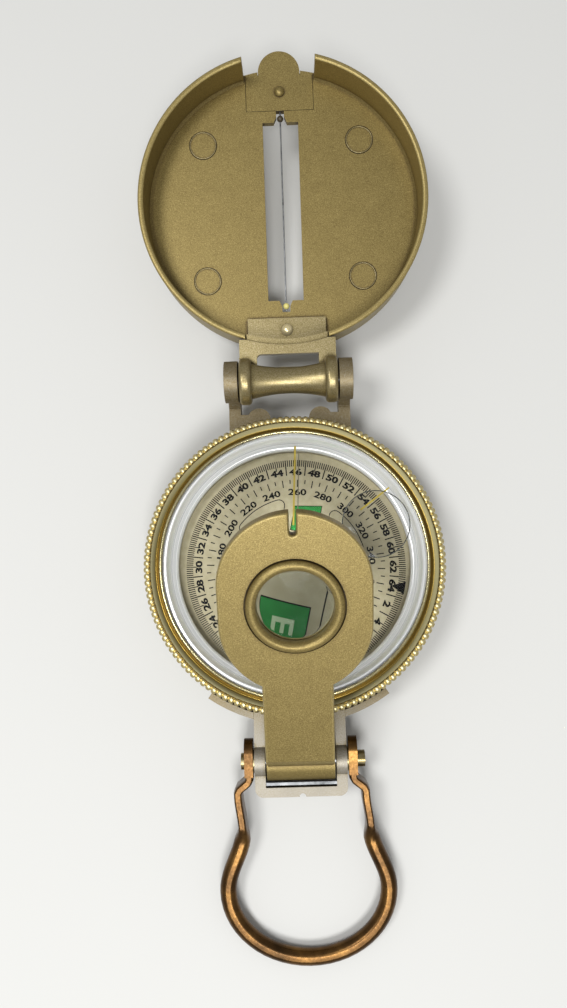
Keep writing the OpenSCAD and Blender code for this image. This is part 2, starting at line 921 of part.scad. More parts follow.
module lens_bracket() {
    color(bronze)
        at_bracket()
            difference() {
                union() {
                    bracket_leg();
                    translate([0, 0, plate_low])
                        linear_extrude(plate_t)
                            head_outline();
                    rod(bracket_barrel_r, bracket_barrel_w);
                }
                rod(axle_r + fit, bracket_barrel_w + cut);
                translate([0, 0, plate_low - cut])
                    linear_extrude(plate_t + 2 * cut)
                        notch_outline();
                translate([0, lens_reach, plate_low - cut])
                    cylinder(r = lens_open_r, h = plate_t + 2 * cut);
                translate([0, lens_reach, lens_seat_u])
                    cylinder(r = lens_open_r + lens_flange_w + fit, h = plate_t);
                translate([0, lens_reach, lens_seat_u + lens_flange_t])
                    cylinder(r = lens_ring_r + lens_ring_gap, h = plate_t);
            }
}

// Half of a bulging glass: the profile of a cap of radius r and height h that stands on y = 0
module cap_profile(r, h) {
    ball_r = (r * r + h * h) / (2 * h);
    intersection() {
        square([r, 2 * h]);
        translate([0, h - ball_r])
            circle(r = ball_r, $fn = 720);
    }
}

// A bulging lens with a flat flange
module sighting_lens() {
    cap_r = lens_open_r - seat;
    color(clear)
        at_bracket()
            translate([0, lens_reach, lens_seat_u])
                rotate_extrude() {
                    square([lens_open_r + lens_flange_w, lens_flange_t]);
                    translate([0, lens_flange_t])
                        cap_profile(cap_r, lens_bulge);
                    mirror([0, 1])
                        cap_profile(cap_r, lens_bulge);
                }
}

module lens_retaining_ring() {
    ring_w = lens_ring_r - lens_open_r;
    color(bronze)
        at_bracket()
            translate([0, lens_reach, lens_seat_u + lens_flange_t])
                rotate_extrude()
                    translate([lens_open_r, 0]) {
                        square([ring_w, lens_ring_h - ring_w / 2]);
                        intersection() {
                            square([ring_w, lens_ring_h]);
                            translate([ring_w / 2, lens_ring_h - ring_w / 2])
                                circle(d = ring_w, $fn = 48);
                        }
                    }
}

// Smooth step from 0 to 1
function ease(t) = 0.5 - 0.5 * cos(180 * min(1, max(0, t)));

// Half width of the loop at a distance from the axle, up to its widest place
function leg_x(s) = loop_eye_x + (loop_leg_x - loop_eye_x) * ease((s - loop_jog_s) / loop_jog_l)
    + (loop_wide_x - loop_leg_x) * ease((s - loop_flare_s) / (loop_wide_s - loop_flare_s));

// Sideways lean of the loop at a distance from the axle
function lean(s) = loop_lean * ease((s - loop_jog_s - loop_jog_l) / (loop_flare_s - loop_jog_s - loop_jog_l));

leg_start_s = loop_jog_s - loop_jog_l / 3;
leg_steps = 26;
end_steps = 28;
leg_path = [
    for (i = [0:leg_steps])
        let (s = leg_start_s + (loop_wide_s - leg_start_s) * pow(i / (leg_steps + 1), 1.25))
            [leg_x(s), -s]
];
end_path = [
    for (i = [0:end_steps])
        let (a = 180 * i / end_steps)
            [loop_wide_x * cos(a), -loop_wide_s - loop_end_l * sin(a)]
];
other_leg = [for (i = [leg_steps:-1:0]) [-leg_path[i][0], leg_path[i][1]]];
straight_path = concat(leg_path, end_path, other_leg);
loop_path = [for (p = straight_path) [p[0] + lean(-p[1]), p[1]]];

// Share of the change from the flattened strip to the round wire, at a distance from the axle
function roundness(s) = ease((s - loop_round_s) / loop_round_l);

sides = 16;

// One ring of the loop: a rounded rectangle that turns into a circle
function ring(i) =
    let (
        here = loop_path[i],
        before = loop_path[max(0, i - 1)],
        after = loop_path[min(len(loop_path) - 1, i + 1)],
        along = (after - before) / norm(after - before),
        round_share = roundness(-here[1]),
        half_in = loop_eye_t / 2 + (loop_d - loop_eye_t) / 2 * round_share,
        half_up = loop_eye_w / 2 + (loop_d - loop_eye_w) / 2 * round_share,
        power = 0.4 + 0.6 * round_share
    )
    [
        for (k = [0:sides - 1])
            let (
                a = 360 * (k + 0.5) / sides,
                u = sign(cos(a)) * pow(abs(cos(a)), power) * half_in,
                v = sign(sin(a)) * pow(abs(sin(a)), power) * half_up
            )
                [here[0] - along[1] * u, here[1] + along[0] * u, v]
    ];

module swept_wire() {
    rings = len(loop_path);
    points = [for (i = [0:rings - 1]) each ring(i)];
    walls = [
        for (i = [0:rings - 2], k = [0:sides - 1])
            let (a = i * sides + k, b = i * sides + (k + 1) % sides)
                each [[a, b + sides, b], [a, a + sides, b + sides]]
    ];
    first = [for (k = [1:sides - 2]) [0, k, k + 1]];
    base = (rings - 1) * sides;
    last = [for (k = [1:sides - 2]) [base, base + k + 1, base + k]];
    polyhedron(points = points, faces = concat(walls, first, last), convexity = 6);
}

module thumb_loop() {
    eye_end = loop_eye_l - loop_eye_w / 2;
    color(copper)
        translate([0, -axle_y, axle_z])
            rotate([loop_angle, 0, 0])
                difference() {
                    union() {
                        swept_wire();
                        both_sides()
                            translate([loop_eye_x, 0, 0]) {
                                block([-loop_eye_t / 2, -leg_start_s - cut / 2, -loop_eye_w / 2],
                                    [loop_eye_t / 2, eye_end, loop_eye_w / 2]);
                                translate([0, eye_end, 0])
                                    rod(loop_eye_w / 2, loop_eye_t);
                            }
                    }
                    rod(axle_r + fit, 2 * (loop_eye_x + loop_eye_t));
                }
}

// A star outline for the bezel's serrations
module serrated(tip_r) {
    polygon([
        for (i = [0:2 * serration_count - 1])
            let (r = i % 2 == 0 ? tip_r : tip_r - serration_depth, a = 180 * i / serration_count)
                [r * cos(a), r * sin(a)]
    ]);
}

module bezel_ring() {
    groove_r = snap_in_r + snap_w + snap_room;
    color(gold) {
        rotate_extrude()
            polygon([
                [bezel_bore_r, bezel_z], [bezel_bore_r + bezel_foot_w, bezel_z],
                [bezel_core_r, bezel_band_z], [bezel_core_r, bezel_band_top],
                [bezel_bevel_r, bezel_bevel_z],
                [bezel_lip_r + bezel_step_w, bezel_top_z - bezel_step_h],
                [bezel_lip_r + bezel_step_w - bezel_step_h, bezel_top_z],
                [bezel_lip_r, bezel_top_z], [bezel_lip_r, bezel_top_z - bezel_lip_t],
                [bezel_bore_r, bezel_top_z - bezel_lip_t], [bezel_bore_r, snap_z + snap_h + snap_play],
                [groove_r, snap_z + snap_h + snap_play], [groove_r, snap_z - snap_play],
                [bezel_bore_r, snap_z - snap_play]
            ]);
        translate([0, 0, bezel_band_z])
            linear_extrude(bezel_band_top - bezel_band_z)
                difference() {
                    serrated(bezel_r);
                    circle(r = (groove_r + bezel_core_r) / 2);
                }
    }
}

module bezel_crystal() {
    color(clear)
        rotate_extrude()
            polygon([
                [0, crystal_z], [flange_r, crystal_z], [flange_r, crystal_z + flange_h],
                [crystal_r, crystal_z + flange_h], [crystal_r, crystal_top_z - crystal_edge],
                [crystal_r - crystal_edge, crystal_top_z], [0, crystal_top_z]
            ]);
}

module crystal_retaining_ring() {
    color(steel)
        translate([0, 0, crystal_z - crystal_ring_t])
            difference() {
                cylinder(r = flange_r, h = crystal_ring_t);
                translate([0, 0, -cut])
                    cylinder(r = crystal_ring_in_r, h = crystal_ring_t + 2 * cut);
            }
}

module bezel_magnifier() {
    color(clear)
        translate([
            magnifier_reach * sin(magnifier_angle), magnifier_reach * cos(magnifier_angle), crystal_top_z
        ])
            rotate_extrude()
                cap_profile(magnifier_r, magnifier_h);
}

module dial_card() {
    color("#cfc6a8")
        translate([0, 0, dial_z])
            difference() {
                cylinder(r = dial_r, h = dial_t);
                translate([0, 0, -cut])
                    cylinder(r = jewel_r + fit, h = dial_t + 2 * cut);
            }
}

module compass_magnet() {
    color("#55585c")
        translate([0, 0, dial_z - magnet_t])
            rotate([0, 0, 90 - north_angle])
                difference() {
                    translate([-magnet_l / 2, -magnet_w / 2, 0])
                        cube([magnet_l, magnet_w, magnet_t]);
                    translate([0, 0, -cut])
                        cylinder(r = magnet_hole_r, h = magnet_t + 2 * cut);
                }
}

module jewel_cap() {
    top_z = dial_z + dial_t;
    color("#c9a24a")
        difference() {
            union() {
                translate([0, 0, dial_z - jewel_low])
                    cylinder(r = jewel_r, h = dial_t + jewel_low + jewel_top);
                translate([0, 0, top_z])
                    cylinder(r = jewel_flange_r, h = jewel_flange_t);
            }
            translate([0, 0, dial_z - jewel_low - cut])
                cylinder(r = jewel_bore_r, h = cut + jewel_low + dial_t + jewel_top - jewel_roof);
        }
}

case_body();
hinge_pin();
bracket_leaf_spring();
loop_washers();
capsule_cup();
capsule_glass();
capsule_gasket();
reflector_ring();
pivot_post();
bezel_snap_ring();
cover_shell();
cover_hinge_arm();
cover_tip_tab();
hinge_rivet();
tip_rivet();
sighting_wire();
lume_dots();
bracket_axle();
axle_screws();
lens_bracket();
sighting_lens();
lens_retaining_ring();
thumb_loop();
bezel_ring();
bezel_crystal();
crystal_retaining_ring();
bezel_magnifier();
dial_card();
compass_magnet();
jewel_cap();
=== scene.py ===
"""Looks for the folding pocket compass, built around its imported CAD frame."""
import json
import math

import bmesh
import bpy
from mathutils import Matrix, Vector


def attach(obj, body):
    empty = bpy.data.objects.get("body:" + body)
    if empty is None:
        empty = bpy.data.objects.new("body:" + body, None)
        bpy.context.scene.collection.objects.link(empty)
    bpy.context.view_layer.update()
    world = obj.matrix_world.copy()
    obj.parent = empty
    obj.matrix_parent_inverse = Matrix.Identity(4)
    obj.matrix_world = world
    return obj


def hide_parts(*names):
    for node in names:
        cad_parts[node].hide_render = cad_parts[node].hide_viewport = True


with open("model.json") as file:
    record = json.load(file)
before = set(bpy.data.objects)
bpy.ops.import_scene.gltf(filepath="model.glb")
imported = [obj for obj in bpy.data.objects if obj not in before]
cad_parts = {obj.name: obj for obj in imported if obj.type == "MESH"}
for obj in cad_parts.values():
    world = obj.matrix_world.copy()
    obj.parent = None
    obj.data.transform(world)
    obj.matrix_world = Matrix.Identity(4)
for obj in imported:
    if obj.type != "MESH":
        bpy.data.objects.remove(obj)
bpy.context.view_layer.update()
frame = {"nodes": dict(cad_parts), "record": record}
NODES = frame["nodes"]
BODY = {node: body for body, members in frame["record"]["behaviour"]["bodies"].items()
        for node in members}
MM = 0.001
UP = (0, 0, 1)
# Points closer than this, in metres, become one
MERGE = 0.000002

# Sizes and places that the CAD part gives, in millimetres
HINGE_Y, HINGE_Z = 35.15, 13.8
COVER_ANGLE = math.radians(12)
COVER_REACH, COVER_H, COVER_AXIS_H, COVER_FLOOR = 35.4, 9.4, 10.7, 1.5
AXLE_Y, AXLE_Z = 36.3, 6.5
BRACKET_ANGLE = math.radians(28)
PLATE_TOP = 11.35
DIAL_TOP, CAPSULE_GLASS_TOP, CRYSTAL_TOP = 7.6, 9.8, 14.1
TEETH = 144
MAGNIFIER_R, MAGNIFIER_H, MAGNIFIER_REACH, MAGNIFIER_ANGLE = 6.4, 0.88, 16.8, 67
LENS_R, LENS_BULGE, LENS_FLANGE_W, LENS_FLANGE_H = 6.25, 0.6, 0.6, 0.8
LENS_REACH, LENS_SEAT = 36.4, 9.75
# How far printing, and a piece set on another, stands clear of what carries it
INK_H, FIT_GAP = 0.02, 0.01


# ---------------------------------------------------------------- materials

def linear(hex_colour):
    """An sRGB hex colour as linear RGBA."""
    parts = [int(hex_colour[i:i + 2], 16) / 255 for i in (1, 3, 5)]
    return tuple(c / 12.92 if c <= 0.04045 else ((c + 0.055) / 1.055) ** 2.4
                 for c in parts) + (1,)


def feed(tree, node, inputs):
    """Gives each named input its value, or a link from the output that feeds it."""
    for key, value in inputs.items():
        if isinstance(value, bpy.types.NodeSocket):
            tree.links.new(value, node.inputs[key])
        else:
            node.inputs[key].default_value = value


def add(tree, kind, inputs=None, stops=(), **settings):
    """A node with its inputs and settings; stops are a colour ramp's, as hex colours or greys."""
    node = tree.nodes.new(kind)
    for key, value in settings.items():
        setattr(node, key, value)
    feed(tree, node, inputs or {})
    if stops:
        points = node.color_ramp.elements
        while len(points) < len(stops):
            points.new(0.5)
        for point, (place, colour) in zip(points, stops):
            point.position = place
            point.color = linear(colour) if isinstance(colour, str) else (colour,) * 3 + (1,)
    return node


def new_material(name):
    material = bpy.data.materials.new(name)
    material.use_nodes = True
    tree = material.node_tree
    return material, tree, tree.nodes["Principled BSDF"]


def metallic_paint(name, shaded_crevice, dark, body, light, rubbed_and_highlit,
                   metallic=0.6, rough=(0.42, 0.45), pale_behind=None):
    """Sprayed metallic enamel on a zinc casting: a satin coat whose flakes give a bright grain.

    The paler colour on rounded edges is partly wear and partly a painted highlight; the corner
    colour is painted shade where two surfaces meet. pale_behind is the Y, in metres, behind which
    handling has left the coat paler.
    """
    material, tree, shader = new_material(name)
    place = add(tree, "ShaderNodeTexCoord").outputs["Object"]
    # real flakes are 0.05 mm; drawn at about 0.15 mm so that they show
    grain = add(tree, "ShaderNodeTexNoise", {
        "Vector": place, "Scale": 6000, "Detail": 2, "Roughness": 0.6}).outputs["Fac"]
    # the sprayed coat is a little uneven over 3 mm
    cloud = add(tree, "ShaderNodeTexNoise", {
        "Vector": place, "Scale": 320, "Detail": 3}).outputs["Fac"]
    flakes = add(tree, "ShaderNodeMapRange", {"Value": grain, "To Min": 0.16, "To Max": 0.84})
    patches = add(tree, "ShaderNodeMapRange", {"Value": cloud, "To Min": -0.025, "To Max": 0.025})
    coat = add(tree, "ShaderNodeMath", {
        0: flakes.outputs["Result"], 1: patches.outputs["Result"]}, operation="ADD")
    # rounded edges are painted paler, partly as wear and partly as a painted highlight
    edge = add(tree, "ShaderNodeAttribute", attribute_name="rubbed_and_highlit_edge").outputs["Fac"]
    worn_and_highlit = add(tree, "ShaderNodeMath", {
        0: edge, 1: 0.12, 2: coat.outputs["Value"]}, operation="MULTIPLY_ADD")
    # painted shade: the coat is darkened within 1 mm of an inner corner
    open_air = add(tree, "ShaderNodeAmbientOcclusion", {"Distance": MM}, samples=8).outputs["AO"]
    painted_shade = add(tree, "ShaderNodeMapRange", {
        "Value": open_air, "From Min": 0.45, "From Max": 0.95, "To Min": -0.36, "To Max": 0})
    tone = add(tree, "ShaderNodeMath", {
        0: worn_and_highlit.outputs["Value"], 1: painted_shade.outputs["Result"]}, operation="ADD")
    if pale_behind is not None:
        depth = add(tree, "ShaderNodeSeparateXYZ", {"Vector": place}).outputs["Y"]
        paler = add(tree, "ShaderNodeMapRange", {
            "Value": depth, "From Min": pale_behind + 4 * MM, "From Max": pale_behind - 4 * MM,
            "To Min": 0, "To Max": 0.2})
        tone = add(tree, "ShaderNodeMath", {
            0: tone.outputs["Value"], 1: paler.outputs["Result"]}, operation="ADD")
    colour = add(tree, "ShaderNodeValToRGB", {"Fac": tone.outputs["Value"]}, stops=[
        (0.12, shaded_crevice), (0.38, dark), (0.5, body), (0.62, light), (0.84, rubbed_and_highlit)])
    gloss = add(tree, "ShaderNodeMapRange", {
        "Value": cloud, "From Min": 0.35, "From Max": 0.65, "To Min": rough[0], "To Max": rough[1]})
    bump = add(tree, "ShaderNodeBump", {"Height": grain, "Strength": 0.45, "Distance": 0.04 * MM})
    feed(tree, shader, {
        "Base Color": colour.outputs["Color"], "Roughness": gloss.outputs["Result"],
        "Normal": bump.outputs["Normal"], "Metallic": metallic})
    return material


def polished_metal(name, body, shade, rough, metallic=1.0):
    """A turned or drawn metal: streaks along its height vary its colour and its gloss a little."""
    material, tree, shader = new_material(name)
    place = add(tree, "ShaderNodeTexCoord").outputs["Object"]
    stretch = add(tree, "ShaderNodeMapping", {"Vector": place, "Scale": (400, 400, 4000)})
    streak = add(tree, "ShaderNodeTexNoise", {
        "Vector": stretch.outputs["Vector"], "Scale": 1, "Detail": 4}).outputs["Fac"]
    colour = add(tree, "ShaderNodeValToRGB", {"Fac": streak}, stops=[
        (0.325, shade), (0.675, body)])
    gloss = add(tree, "ShaderNodeMapRange", {
        "Value": streak, "From Min": 0.3, "From Max": 0.7,
        "To Min": rough * 0.8, "To Max": rough * 1.3})
    feed(tree, shader, {"Base Color": colour.outputs["Color"],
                        "Roughness": gloss.outputs["Result"], "Metallic": metallic})
    return material


def radius_of(tree, place):
    """How far a place is from the case's axis, in metres."""
    flat = add(tree, "ShaderNodeMapping", {"Vector": place, "Scale": (1, 1, 0)})
    length = add(tree, "ShaderNodeVectorMath", {0: flat.outputs["Vector"]}, operation="LENGTH")
    return length.outputs["Value"]


def anodised_rings(name):
    """Gold-anodised aluminium: pale lip, deep gold groove, blasted slope, pale teeth. The teeth's
    paleness is partly wear and partly a painted highlight on their crests; the line at the slope's
    foot and the lip's inner edge are painted shade.
    """
    material, tree, shader = new_material(name)
    place = add(tree, "ShaderNodeTexCoord").outputs["Object"]
    across = add(tree, "ShaderNodeMapRange", {
        "Value": radius_of(tree, place),
        "From Min": 24.5 * MM, "From Max": 28.3 * MM}).outputs["Result"]
    # blasted grains are 0.1 mm; drawn at 0.2 mm so that they show
    grit = add(tree, "ShaderNodeTexNoise", {
        "Vector": place, "Scale": 5000, "Detail": 1}).outputs["Fac"]
    swing = add(tree, "ShaderNodeMapRange", {"Value": grit, "To Min": -0.03, "To Max": 0.03})
    blurred = add(tree, "ShaderNodeMath", {
        0: across, 1: swing.outputs["Result"]}, operation="ADD")
    colour = add(tree, "ShaderNodeValToRGB", {"Fac": blurred.outputs["Value"]}, stops=[
        # the lip, its inner edge painted darker as shade
        (0.03, "#8a7f5c"), (0.07, "#c9c09a"), (0.15, "#c4b888"), (0.18, "#8d7b4a"),
        # the groove
        (0.22, "#b3995a"), (0.3, "#bfa566"), (0.36, "#7c672f"), (0.4, "#7c672f"),
        # the slope, and the dark line at its foot, painted shade in the step there
        (0.44, "#77704f"), (0.62, "#857f60"), (0.645, "#4f4426"), (0.66, "#6b5f3a"),
        # the teeth, painted pale in part as a highlight on their crests
        (0.7, "#cfc08c"), (0.86, "#dccf9f"), (0.94, "#b7a76f"), (1.0, "#8b7a48")])
    rough = add(tree, "ShaderNodeValToRGB", {"Fac": across}, stops=[
        (0.0, 0.2), (0.38, 0.26), (0.44, 0.5), (0.64, 0.5), (0.7, 0.4)])
    bump = add(tree, "ShaderNodeBump", {"Height": grit, "Strength": 0.3, "Distance": 0.04 * MM})
    feed(tree, shader, {
        "Base Color": colour.outputs["Color"], "Roughness": rough.outputs["Color"],
        "Normal": bump.outputs["Normal"], "Metallic": 1})
    return material


def turned_silver(name):
    """Bright turned aluminium: white-silver with the lathe's fine concentric lines."""
    material, tree, shader = new_material(name)
    place = add(tree, "ShaderNodeTexCoord").outputs["Object"]
    # the lathe's lines lie 0.1 mm apart
    lines = add(tree, "ShaderNodeTexNoise", {
        "W": radius_of(tree, place), "Scale": 9000, "Detail": 3},
        noise_dimensions="1D").outputs["Fac"]
    colour = add(tree, "ShaderNodeValToRGB", {"Fac": lines}, stops=[
        (0.32, "#b9bcbc"), (0.5, "#eceeed"), (0.7, "#fbfbfa")])
    bump = add(tree, "ShaderNodeBump", {"Height": lines, "Strength": 0.3, "Distance": 0.02 * MM})
    feed(tree, shader, {
        "Base Color": colour.outputs["Color"], "Roughness": 0.3,
        "Normal": bump.outputs["Normal"], "Metallic": 0.45})
    return material


def aged_lume(name):
    """Old luminous paint: still yellow on the dot by the hinge, dark on the one by the tip."""
    material, tree, shader = new_material(name)
    place = add(tree, "ShaderNodeTexCoord").outputs["Object"]
    depth = add(tree, "ShaderNodeSeparateXYZ", {"Vector": place}).outputs["Y"]
    age = add(tree, "ShaderNodeMapRange", {
        "Value": depth, "From Min": 65 * MM, "From Max": 75 * MM})
    mottle = add(tree, "ShaderNodeTexNoise", {"Vector": place, "Scale": 3000, "Detail": 2})
    swing = add(tree, "ShaderNodeMapRange", {
        "Value": mottle.outputs["Fac"], "To Min": -0.2, "To Max": 0.2})
    mixed = add(tree, "ShaderNodeMath", {
        0: age.outputs["Result"], 1: swing.outputs["Result"]}, operation="ADD")
    colour = add(tree, "ShaderNodeValToRGB", {"Fac": mixed.outputs["Value"]}, stops=[
        (0.0, "#d6cc7c"), (0.25, "#b9a850"), (0.8, "#3c3320")])
    feed(tree, shader, {"Base Color": colour.outputs["Color"], "Roughness": 0.5})
    return material


def browned_copper(name):
    """Oxidised copper wire: a smooth dark skin, paler on its edges, partly bare warm metal through
    wear and partly a painted highlight.
    """
    material, tree, shader = new_material(name)
    place = add(tree, "ShaderNodeTexCoord").outputs["Object"]
    patches = add(tree, "ShaderNodeTexNoise", {
        "Vector": place, "Scale": 160, "Detail": 3, "Roughness": 0.5}).outputs["Fac"]
    scratches = add(tree, "ShaderNodeTexNoise", {
        "Vector": place, "Scale": 2200, "Detail": 2}).outputs["Fac"]
    edge = add(tree, "ShaderNodeAttribute", attribute_name="rubbed_and_highlit_edge").outputs["Fac"]
    worn_and_highlit = add(tree, "ShaderNodeMath", {0: edge, 1: 0.12, 2: patches}, operation="MULTIPLY_ADD")
    colour = add(tree, "ShaderNodeValToRGB", {"Fac": worn_and_highlit.outputs["Value"]}, stops=[
        (0.3, "#35240f"), (0.5, "#4e3619"), (0.7, "#725328"), (0.9, "#b3925c")])
    gloss = add(tree, "ShaderNodeMapRange", {
        "Value": scratches, "From Min": 0.3, "From Max": 0.7, "To Min": 0.26, "To Max": 0.38})
    bump = add(tree, "ShaderNodeBump", {
        "Height": scratches, "Strength": 0.15, "Distance": 0.02 * MM})
    feed(tree, shader, {
        "Base Color": colour.outputs["Color"], "Roughness": gloss.outputs["Result"],
        "Normal": bump.outputs["Normal"], "Metallic": 0.85})
    return material


def clear_sheet(name, mirrored, tint="#f4f8f8", rough=0.03):
    """Clear acrylic or glass seen flat on: all but the mirrored share of the light goes through."""
    material, tree, shader = new_material(name)
    feed(tree, shader, {
        "Base Color": linear(tint), "Roughness": rough, "Metallic": 1, "Alpha": mirrored})
    return material


def clear_lens(name, ior):
    """Clear moulded lens that bends what lies behind it; the tint dims the lamps it mirrors."""
    material, tree, shader = new_material(name)
    feed(tree, shader, {
        "Base Color": linear("#f6fafa"), "Roughness": 0.0, "IOR": ior,
        "Specular Tint": linear("#4a4c4c"), "Transmission Weight": 1})
    return material


def plain(name, colour, shade, rough, specular=0.5):
    """Paint, card, rubber or plastic: one dull colour with a faint mottling, 1 mm wide."""
    material, tree, shader = new_material(name)
    place = add(tree, "ShaderNodeTexCoord").outputs["Object"]
    mottle = add(tree, "ShaderNodeTexNoise", {
        "Vector": place, "Scale": 900, "Detail": 4}).outputs["Fac"]
    tint = add(tree, "ShaderNodeValToRGB", {"Fac": mottle}, stops=[(0.35, shade), (0.65, colour)])
    bump = add(tree, "ShaderNodeBump", {"Height": mottle, "Strength": 0.2, "Distance": 0.02 * MM})
    feed(tree, shader, {
        "Base Color": tint.outputs["Color"], "Roughness": rough,
        "Normal": bump.outputs["Normal"], "Specular IOR Level": specular})
    return material


# Colours from the painted shade in a corner, through the coat's three tones, to the paler edge
# colour, which is partly wear and partly a painted highlight
bronze = metallic_paint(
    "bronze_enamel", "#33291a", "#6b5a33", "#80703f", "#978653", "#b8a878")
pale_bronze = metallic_paint(
    "pale_bronze_enamel", "#3b3020", "#6a5c3e", "#7d7052", "#8a8373", "#a19c93",
    pale_behind=-28 * MM, rough=(0.46, 0.52))
# Hinge arm and ejector lips: paler through wear, and paler in part as a painted highlight on their
# rounded tops
worn_and_highlit_bronze = metallic_paint(
    "worn_and_highlit_bronze_enamel", "#33291a", "#776a47", "#8f8259", "#a5987a", "#cfc5a6",
    metallic=0.75, rough=(0.34, 0.37))
gold = anodised_rings("gold_anodised_aluminium")
silver = turned_silver("turned_aluminium")
spring_steel = polished_metal("spring_steel", "#9a9c9e", "#727476", 0.32)
light_brass = polished_metal("light_brass", "#f2e6c0", "#dccb98", 0.28, metallic=0.6)
screw_brass = polished_metal("screw_brass", "#9f9370", "#7a6d48", 0.34)
magnet_steel = polished_metal("magnet_steel", "#7c7e80", "#5c5e60", 0.35)
copper = browned_copper("browned_copper")
crystal_clear = clear_sheet("acrylic_crystal", 0.008)
glass_clear = clear_sheet("capsule_glass", 0.005)
magnifier_clear = clear_sheet("acrylic_magnifier", 0.01, rough=0.12)
# grey, mostly opaque sheet for the magnifier's edge: painted shade and glint
magnifier_edge_shade_and_glint = clear_sheet("magnifier_edge_shade_and_glint", 0.75, "#7d8484")
lens_clear = clear_lens("ground_lens", 1.3)
dial_card = plain("printed_dial_card", "#b3ab8d", "#a9a182", 0.6, specular=0.2)
ivory_plastic = plain("ivory_moulded_plastic", "#ddd6bd", "#d3ccb0", 0.4)
rubber = plain("black_rubber", "#1c1c1c", "#141414", 0.7)
lume = aged_lume("luminous_paint")
ink = plain("black_printing_ink", "#0d0c09", "#080705", 0.5, specular=0.1)
faint_ink = plain("thin_grey_ink", "#6f6a55", "#666148", 0.5)
green_ink = plain("green_printing_ink", "#2b8a3c", "#237c33", 0.5, specular=0.2)
cream_ink = plain("cream_printing_ink", "#b8d0a4", "#adc598", 0.55)
yellow_paint = plain("yellow_index_paint", "#b09c33", "#a18e2a", 0.4)

FINISH = {
    "case_body": pale_bronze, "hinge_pin": spring_steel, "bracket_leaf_spring": spring_steel,
    "loop_washers": screw_brass, "capsule_cup": ivory_plastic, "capsule_glass": glass_clear,
    "capsule_gasket": rubber, "reflector_ring": silver, "pivot_post": screw_brass,
    "bezel_snap_ring": spring_steel, "cover_shell": bronze, "cover_hinge_arm": worn_and_highlit_bronze,
    "cover_tip_tab": bronze, "hinge_rivet": light_brass, "tip_rivet": bronze,
    "sighting_wire": spring_steel, "lume_dots": lume, "bracket_axle": spring_steel,
    "axle_screws": screw_brass, "lens_bracket": bronze, "sighting_lens": lens_clear,
    "lens_retaining_ring": bronze, "thumb_loop": copper, "bezel_ring": gold,
    "bezel_crystal": crystal_clear, "crystal_retaining_ring": silver,
    "bezel_magnifier": magnifier_clear, "dial_card": dial_card, "compass_magnet": magnet_steel,
    "jewel_cap": ivory_plastic,
}
for node_name, finish in FINISH.items():
    NODES[node_name].data.materials.clear()
    NODES[node_name].data.materials.append(finish)


# ---------------------------------------------------------------- modelling tools

def deselect():
    if bpy.context.object and bpy.context.object.mode != "OBJECT":
        bpy.ops.object.mode_set(mode="OBJECT")
    bpy.ops.object.select_all(action="DESELECT")


def work_on(piece):
    deselect()
    piece.select_set(True)
    bpy.context.view_layer.objects.active = piece


def dress(piece, name, node_name, finish):
    """Names a new piece and gives it its finish, and the body and slot of the node it goes with."""
    piece.name = name
    piece.data.name = name
    piece.data.materials.clear()
    piece.data.materials.append(finish)
    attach(piece, BODY[node_name])
    return piece


def smooth(piece, degrees):
    work_on(piece)
    bpy.ops.object.shade_smooth_by_angle(angle=math.radians(degrees), keep_sharp_edges=False)


# An edge that turns more than this, in degrees, is sharp
SHARP = 34


def round_edges(piece, width, segments, limit):
    """Rounds the edges that the limit picks; the new faces get the second material slot."""
    work_on(piece)
    bevel = piece.modifiers.new("Edge rounding", "BEVEL")
    bevel.width = width * MM
    bevel.segments = segments
    bevel.use_clamp_overlap = True
    bevel.material = 1
    bevel.limit_method = limit
    bevel.angle_limit = math.radians(SHARP)
    bpy.ops.object.modifier_apply(modifier=bevel.name)


def level_normals(piece):
    """Keeps large flat faces flat to the eye beside their rounded edges."""
    work_on(piece)
    level = piece.modifiers.new("Level normals", "WEIGHTED_NORMAL")
    level.mode = "FACE_AREA"
    level.weight = 60
    level.keep_sharp = True
    bpy.ops.object.modifier_apply(modifier=level.name)


def weigh_edges(piece, where):
    """Gives a bevel weight to each sharp edge whose two ends, in millimetres, it says."""
    mesh = bmesh.new()
    mesh.from_mesh(piece.data)
    weight = mesh.edges.layers.float.new("bevel_weight_edge")
    for edge in mesh.edges:
        sharp = len(edge.link_faces) == 2 and edge.calc_face_angle() > math.radians(SHARP)
        edge[weight] = float(sharp and all(where(v.co / MM) for v in edge.verts))
    mesh.to_mesh(piece.data)
    mesh.free()


def softened(node_name, width, segments=2, wide=None, wide_where=None):
    """A copy of a cast node with its sharp edges rounded, as tumbling and paint leave them."""
    piece = bpy.data.objects.new(node_name + "_cast", NODES[node_name].data.copy())
    bpy.context.scene.collection.objects.link(piece)
    work_on(piece)
    bpy.ops.object.mode_set(mode="EDIT")
    bpy.ops.mesh.select_all(action="SELECT")
    bpy.ops.mesh.remove_doubles(threshold=MERGE)
    bpy.ops.mesh.dissolve_limited(angle_limit=math.radians(0.5))
    bpy.ops.object.mode_set(mode="OBJECT")
    piece.data.materials.append(FINISH[node_name])
    if wide:
        weigh_edges(piece, wide_where)
        round_edges(piece, wide, 3, "WEIGHT")
    round_edges(piece, width, segments, "ANGLE")
    faces = piece.data.polygons
    # the rounded faces are marked to be painted paler: partly wear, partly a painted highlight
    rubbed_and_highlit = piece.data.attributes.new("rubbed_and_highlit_edge", "FLOAT", "FACE")
    rubbed_and_highlit.data.foreach_set("value", [float(face.material_index == 1) for face in faces])
    faces.foreach_set("material_index", [0] * len(faces))
    smooth(piece, 32)
    level_normals(piece)
    dress(piece, node_name + "_cast", node_name, FINISH[node_name])
    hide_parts(node_name)


